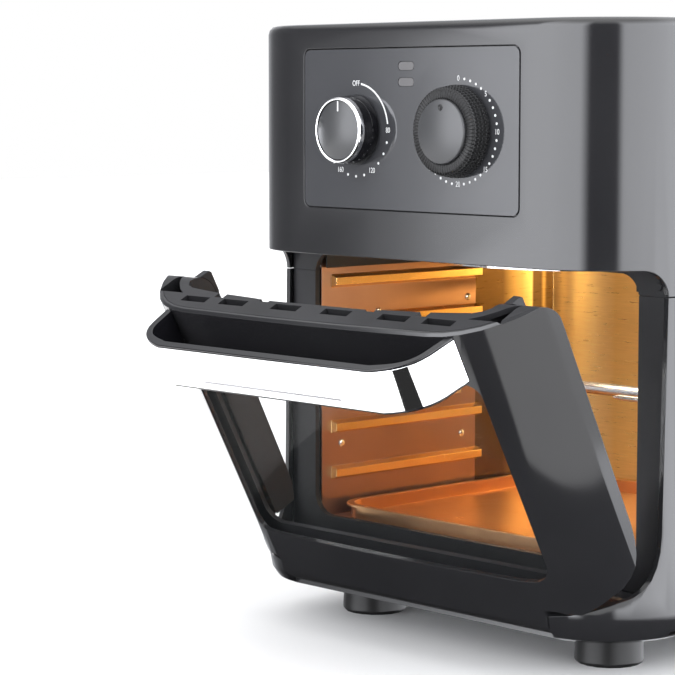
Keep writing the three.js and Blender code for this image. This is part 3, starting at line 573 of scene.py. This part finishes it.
# ------------------------------------------------------------------ rivets in the cavity walls
RIVET_RADIUS = 2.6 * MM
RIVET_FLATNESS = 0.55
RIVET_INSET = 1.4 * MM      # from the liner's outer side to the rivet's centre
RIVET_PLACES = ((109, 195), (196, 200), (75, 108), (190, 104))     # (behind the front, height), mm
for side_name, wall, inward in (("left", liner_low.x, 1), ("right", liner_high.x, -1)):
    for number, (back, z) in enumerate(RIVET_PLACES):
        bm = bmesh.new()
        bmesh.ops.create_uvsphere(bm, u_segments=20, v_segments=10, radius=RIVET_RADIUS)
        squeeze = Matrix.Diagonal((RIVET_FLATNESS, 1, 1, 1))
        centre = Vector((wall + inward * RIVET_INSET, FRONT_Y + back * MM, z * MM))
        bmesh.ops.transform(bm, matrix=Matrix.Translation(centre) @ squeeze, verts=bm.verts)
        rivet = finished(f"cavity_rivet_{side_name}_{number + 1}", closed(bm, "rivet_mesh"))
        dress(rivet, "bright_steel", "cabinet")

# ------------------------------------------------------------------ stage
pale = Nodes("pale_floor")
pale_tone = pale.ramp(pale.noise(1.5).outputs["Fac"], (0.86, 0.86, 0.86), (0.88, 0.88, 0.88))
pale.feed(pale.shader.inputs["Base Color"], pale_tone)
pale.set(Roughness=0.6)
bpy.ops.mesh.primitive_plane_add(size=14, location=(0, 0, 0))
floor = bpy.context.object
floor.name = "floor"
floor.data.materials.append(pale.material)
floor.visible_glossy = False


CARD_LIFT = 2 * MM


def reflector(name, corners, tones):
    """A card lying on the floor that only shows in reflections; tones are (x, brightness) along it."""
    mesh = bpy.data.meshes.new(name)
    mesh.from_pydata([(x, y, CARD_LIFT) for x, y in corners], [], [range(len(corners))])
    card = placed(name, mesh)
    glow = Nodes(name)
    split = glow.add("ShaderNodeSeparateXYZ", Vector=glow.place)
    (start, start_tone), (end, end_tone) = tones
    along = glow.add("ShaderNodeMapRange", Value=split.outputs["X"], From_Min=start, From_Max=end,
                     To_Min=start_tone, To_Max=end_tone)
    glow.feed(glow.shader.inputs["Emission Strength"], along.outputs["Result"])
    white = glow.ramp(glow.noise(3).outputs["Fac"], (0.97,) * 3, (1.0,) * 3)
    glow.feed(glow.shader.inputs["Emission Color"], white)
    glow.set(Specular_IOR_Level=0.0)
    mesh.materials.append(glow.material)
    card.visible_camera = False
    card.visible_diffuse = False
    card.visible_shadow = False
    card.visible_transmission = False


# Two white cards in front of the door, with a dark gap between them.
reflector("card_left", [(-1.6, -1.4), (0.60, -1.4), (0.10, -0.33), (0.055, -0.235), (-0.17, -0.235),
                        (-0.28, -0.1), (-0.4, 0.3), (-1.6, 0.3)], [(-0.5, 0.42), (-0.05, 0.82)])
reflector("card_right", [(0.85, -1.4), (2.2, -1.4), (2.2, 0.2), (0.6, 0.1), (0.3, -0.15), (0.18, -0.235),
                         (0.24, -0.33)], [(0.0, 0.85), (1.0, 0.85)])

# Studio surround: brightness by compass direction, in degrees from +X, as (direction, brightness).
SURROUND = [(-180, 0.3), (-150, 0.25), (-141.5, 0.45), (-137.5, 1.0), (-135, 2.3), (-132.5, 4.8), (-129, 6.3),
            (-112, 6.8), (-77, 6.5), (-67, 0.05), (-37, 0.05), (-30, 6.2), (20, 7.2), (50, 7.2), (80, 3.5),
            (120, 1.2), (180, 0.3)]
DIFFUSE_LIGHT = 1.25
SKY_TINT = (0.97, 0.985, 1.03)
UNDERSIDE = 0.03            # brightness of the surround below UNDERSIDE_SINES
UNDERSIDE_SINES = (-0.48, -0.3)
OVERHEAD = 2.4              # brightness of the surround above OVERHEAD_SINES
OVERHEAD_SINES = (0.55, 0.9)
MIX_FACTOR, MIX_A, MIX_B, MIX_RESULT = 0, 6, 7, 2       # the colour sockets of a mix node
world = bpy.data.worlds.new("studio")
bpy.context.scene.world = world
world.use_nodes = True
tree = world.node_tree
tree.nodes.clear()


def link(a, b):
    tree.links.new(a, b)


def spread(value, low, high):
    """The value from low to high as 0 to 1."""
    node = tree.nodes.new("ShaderNodeMapRange")
    node.inputs["From Min"].default_value = low
    node.inputs["From Max"].default_value = high
    link(value, node.inputs["Value"])
    return node.outputs["Result"]


def blend(factor, below, above):
    """below at factor 0 and above at factor 1; each is a grey or a socket."""
    node = tree.nodes.new("ShaderNodeMix")
    node.data_type = "RGBA"
    link(factor, node.inputs[MIX_FACTOR])
    for socket, value in ((node.inputs[MIX_A], below), (node.inputs[MIX_B], above)):
        if isinstance(value, bpy.types.NodeSocket):
            link(value, socket)
        else:
            socket.default_value = (value, value, value, 1)
    return node.outputs[MIX_RESULT]


coordinates = tree.nodes.new("ShaderNodeTexCoord")
split = tree.nodes.new("ShaderNodeSeparateXYZ")
link(coordinates.outputs["Generated"], split.inputs["Vector"])
compass = tree.nodes.new("ShaderNodeMath")
compass.operation = "ARCTAN2"
link(split.outputs["Y"], compass.inputs[0])
link(split.outputs["X"], compass.inputs[1])
bands = tree.nodes.new("ShaderNodeValToRGB")
while len(bands.color_ramp.elements) < len(SURROUND):
    bands.color_ramp.elements.new(0.5)
for element, (direction, brightness) in zip(bands.color_ramp.elements, SURROUND):
    element.position = (direction + 180) / 360
    element.color = (*(tint * brightness for tint in SKY_TINT), 1)
link(spread(compass.outputs[0], -math.pi, math.pi), bands.inputs["Fac"])
level = blend(spread(split.outputs["Z"], *UNDERSIDE_SINES), UNDERSIDE, bands.outputs["Color"])
reflected = blend(spread(split.outputs["Z"], *OVERHEAD_SINES), level, OVERHEAD)
rays = tree.nodes.new("ShaderNodeLightPath")
lit = blend(rays.outputs["Is Diffuse Ray"], reflected, DIFFUSE_LIGHT)
surround = tree.nodes.new("ShaderNodeBackground")
link(blend(rays.outputs["Is Camera Ray"], lit, 1.0), surround.inputs["Color"])
output = tree.nodes.new("ShaderNodeOutputWorld")
link(surround.outputs[0], output.inputs["Surface"])
bpy.context.scene.view_settings.view_transform = "Standard"


def area_light(name, location, target, size, energy, color=(1, 1, 1), spread_angle=150):
    """A square light at location that faces target."""
    data = bpy.data.lights.new(name, "AREA")
    data.energy = energy
    data.size = size
    data.color = color
    data.spread = math.radians(spread_angle)
    lamp = placed(name, data)
    lamp.location = location
    lamp.rotation_euler = (Vector(target) - Vector(location)).to_track_quat("-Z", "Y").to_euler()
    return lamp


area_light("top_softbox", (0.2, -0.3, 2.2), (0, 0, 0.2), 1.6, 6).visible_glossy = False
WARM = (1.0, 0.80, 0.55)
# Warm lights in the cavity as (place, target, size, energy, cone), from the middle of its floor.
CAVITY_LIGHTS = (
    ((0.06, -0.045, 0.222), (-0.138, 0.03, 0.15), 0.07, 0.26, 150),
    ((0.0, -0.02, 0.222), (0.03, 0.115, 0.12), 0.07, 0.22, 150),
    ((0.0, 0.02, 0.222), (0.0, 0.03, 0.06), 0.1, 0.28, 80))
middle = Vector((0, (liner_low.y + liner_high.y) / 2, 0))
for number, (place, target, size, energy, cone) in enumerate(CAVITY_LIGHTS):
    area_light(f"cavity_glow_{number + 1}", middle + Vector(place), middle + Vector(target), size, energy,
               WARM, cone)

# ------------------------------------------------------------------ camera
# Right of, in front of and above the foot of the cabinet's front.
CAMERA_FROM_FRONT = Vector((1062.6, -1037.1, 341.6)) * MM
CAMERA_AZIMUTH = math.radians(47.283)
CAMERA_PITCH = math.radians(5.672)
CAMERA_LENS = 130.82
camera_data = bpy.data.cameras.new("camera")
camera_data.lens = CAMERA_LENS
camera_data.sensor_width = 36
camera_data.clip_end = 50
camera = placed("camera", camera_data)
camera.location = CAMERA_FROM_FRONT + Vector((0, FRONT_Y, 0))
camera.rotation_euler = (math.pi / 2 - CAMERA_PITCH, 0, CAMERA_AZIMUTH)
bpy.context.scene.camera = camera
